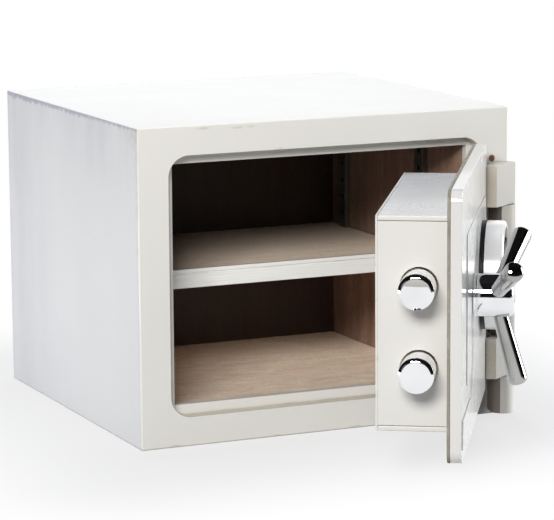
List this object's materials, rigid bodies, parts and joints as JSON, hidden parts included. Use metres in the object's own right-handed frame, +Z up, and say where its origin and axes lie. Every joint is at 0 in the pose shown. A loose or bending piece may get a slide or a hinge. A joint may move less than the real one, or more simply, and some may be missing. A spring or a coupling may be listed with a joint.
{
  "type": "home safe",
  "caption": "Small steel safe with an inset swing door, round locking bolts, a spoked handle, a round keypad lock, a wood-lined inside and a shelf.",
  "frame": {"origin": "centre of the cabinet's underside, on the surface that it stands on", "axes": "+Z up, -Y out of the door opening, +X towards the hinge side"},
  "size_m": [0.4207, 0.7198, 0.33],
  "materials": {
    "white_paint": "warm off-white gloss powder coat",
    "grey_paint": "light grey gloss powder coat",
    "steel": "bright steel",
    "chrome": "polished chrome",
    "bronze": "bearing bronze",
    "aluminium_trim": "satin anodised",
    "dark_wood": "dark brown lacquered panel",
    "light_wood": "pinkish brown open grain",
    "fill": "cast mineral fill",
    "seal_strip": "brown-beige expanding fire seal",
    "black_plastic": "fine texture",
    "light_plastic": "satin silver-white",
    "circuit_board": "green lacquer",
    "brown_cap": "brown"
  },
  "bodies": {
    "cabinet": {"front_frame": "white_paint", "inner_frame": "white_paint", "top_plate": "white_paint", "bottom_plate": "grey_paint", "left_side": "grey_paint", "right_side": "grey_paint", "back_plate": "grey_paint", "insulation_fill": "fill", "strike_bar": "steel", "wood_floor": "light_wood", "wood_ceiling": "dark_wood", "wood_left": "dark_wood", "wood_right": "dark_wood", "wood_back": "dark_wood", "shelf_board": "light_wood", "shelf_trim": "aluminium_trim", "shelf_pins": "steel", "slotted_strips": "aluminium_trim", "lower_knuckle": "white_paint", "middle_knuckle": "white_paint", "hinge_pins": "steel", "frame_cap": "brown_cap"},
    "door": {"door_plate": "white_paint", "door_seal": "seal_strip", "door_pan": "white_paint", "bolt_plate": "white_paint", "bolt_bushes": "bronze", "front_board": "fill", "rear_board": "fill", "inner_cover": "white_paint", "cover_screws": "steel", "upper_arm": "white_paint", "lower_arm": "white_paint", "raised_panel": "white_paint", "badge_plate": "white_paint", "carrier_guides": "steel", "lock_case": "steel", "keypad_base": "black_plastic", "keypad_housing": "light_plastic", "keypad_board": "circuit_board"},
    "handle": {"handle_hub": "chrome", "handle_spokes": "chrome", "spindle": "steel", "pinion": "steel"},
    "boltwork": {"locking_bolts": "chrome", "bolt_carrier": "steel"},
    "lock_bolt": {"lock_bolt": "steel"},
    "key_1": {"key_1": "black_plastic"},
    "key_2": {"key_2": "black_plastic"},
    "key_3": {"key_3": "black_plastic"},
    "key_4": {"key_4": "black_plastic"},
    "key_5": {"key_5": "black_plastic"},
    "key_6": {"key_6": "black_plastic"},
    "key_7": {"key_7": "black_plastic"},
    "key_8": {"key_8": "black_plastic"},
    "key_9": {"key_9": "black_plastic"},
    "key_clear": {"key_clear": "black_plastic"},
    "key_0": {"key_0": "black_plastic"},
    "key_enter": {"key_enter": "black_plastic"}
  },
  "joints": [
    {"name": "door_hinge", "type": "hinge", "parent": "cabinet", "child": "door", "pos_m": [0.197, -0.2145, 0], "axis": [0, 0, 1], "range_deg": [-58, 112]},
    {"name": "handle_turn", "type": "hinge", "parent": "door", "child": "handle", "pos_m": [0.06469, -0.39605, 0.1719], "axis": [-0.848, 0.5299, 0], "range_deg": [0, 90]},
    {"name": "bolt_slide", "type": "slide", "parent": "door", "child": "boltwork", "axis": [0.5299, 0.848, 0], "range_m": [0, 0.02828]},
    {"name": "lock_bolt_slide", "type": "slide", "parent": "door", "child": "lock_bolt", "axis": [0, 0, 1], "range_m": [0, 0.00801]},
    {"name": "key_1_press", "type": "slide", "parent": "door", "child": "key_1", "axis": [-0.848, 0.5299, 0], "range_m": [0, 0.0012], "stiffness_N_per_m": 400},
    {"name": "key_2_press", "type": "slide", "parent": "door", "child": "key_2", "axis": [-0.848, 0.5299, 0], "range_m": [0, 0.0012], "stiffness_N_per_m": 400},
    {"name": "key_3_press", "type": "slide", "parent": "door", "child": "key_3", "axis": [-0.848, 0.5299, 0], "range_m": [0, 0.0012], "stiffness_N_per_m": 400},
    {"name": "key_4_press", "type": "slide", "parent": "door", "child": "key_4", "axis": [-0.848, 0.5299, 0], "range_m": [0, 0.0012], "stiffness_N_per_m": 400},
    {"name": "key_5_press", "type": "slide", "parent": "door", "child": "key_5", "axis": [-0.848, 0.5299, 0], "range_m": [0, 0.0012], "stiffness_N_per_m": 400},
    {"name": "key_6_press", "type": "slide", "parent": "door", "child": "key_6", "axis": [-0.848, 0.5299, 0], "range_m": [0, 0.0012], "stiffness_N_per_m": 400},
    {"name": "key_7_press", "type": "slide", "parent": "door", "child": "key_7", "axis": [-0.848, 0.5299, 0], "range_m": [0, 0.0012], "stiffness_N_per_m": 400},
    {"name": "key_8_press", "type": "slide", "parent": "door", "child": "key_8", "axis": [-0.848, 0.5299, 0], "range_m": [0, 0.0012], "stiffness_N_per_m": 400},
    {"name": "key_9_press", "type": "slide", "parent": "door", "child": "key_9", "axis": [-0.848, 0.5299, 0], "range_m": [0, 0.0012], "stiffness_N_per_m": 400},
    {"name": "key_clear_press", "type": "slide", "parent": "door", "child": "key_clear", "axis": [-0.848, 0.5299, 0], "range_m": [0, 0.0012], "stiffness_N_per_m": 400},
    {"name": "key_0_press", "type": "slide", "parent": "door", "child": "key_0", "axis": [-0.848, 0.5299, 0], "range_m": [0, 0.0012], "stiffness_N_per_m": 400},
    {"name": "key_enter_press", "type": "slide", "parent": "door", "child": "key_enter", "axis": [-0.848, 0.5299, 0], "range_m": [0, 0.0012], "stiffness_N_per_m": 400}
  ],
  "couplings": [
    {"joint": "bolt_slide", "follows": "handle_turn", "m_per_rad": 0.018},
    {"joint": "lock_bolt_slide", "follows": "handle_turn", "m_per_rad": 0.005093}
  ]
}
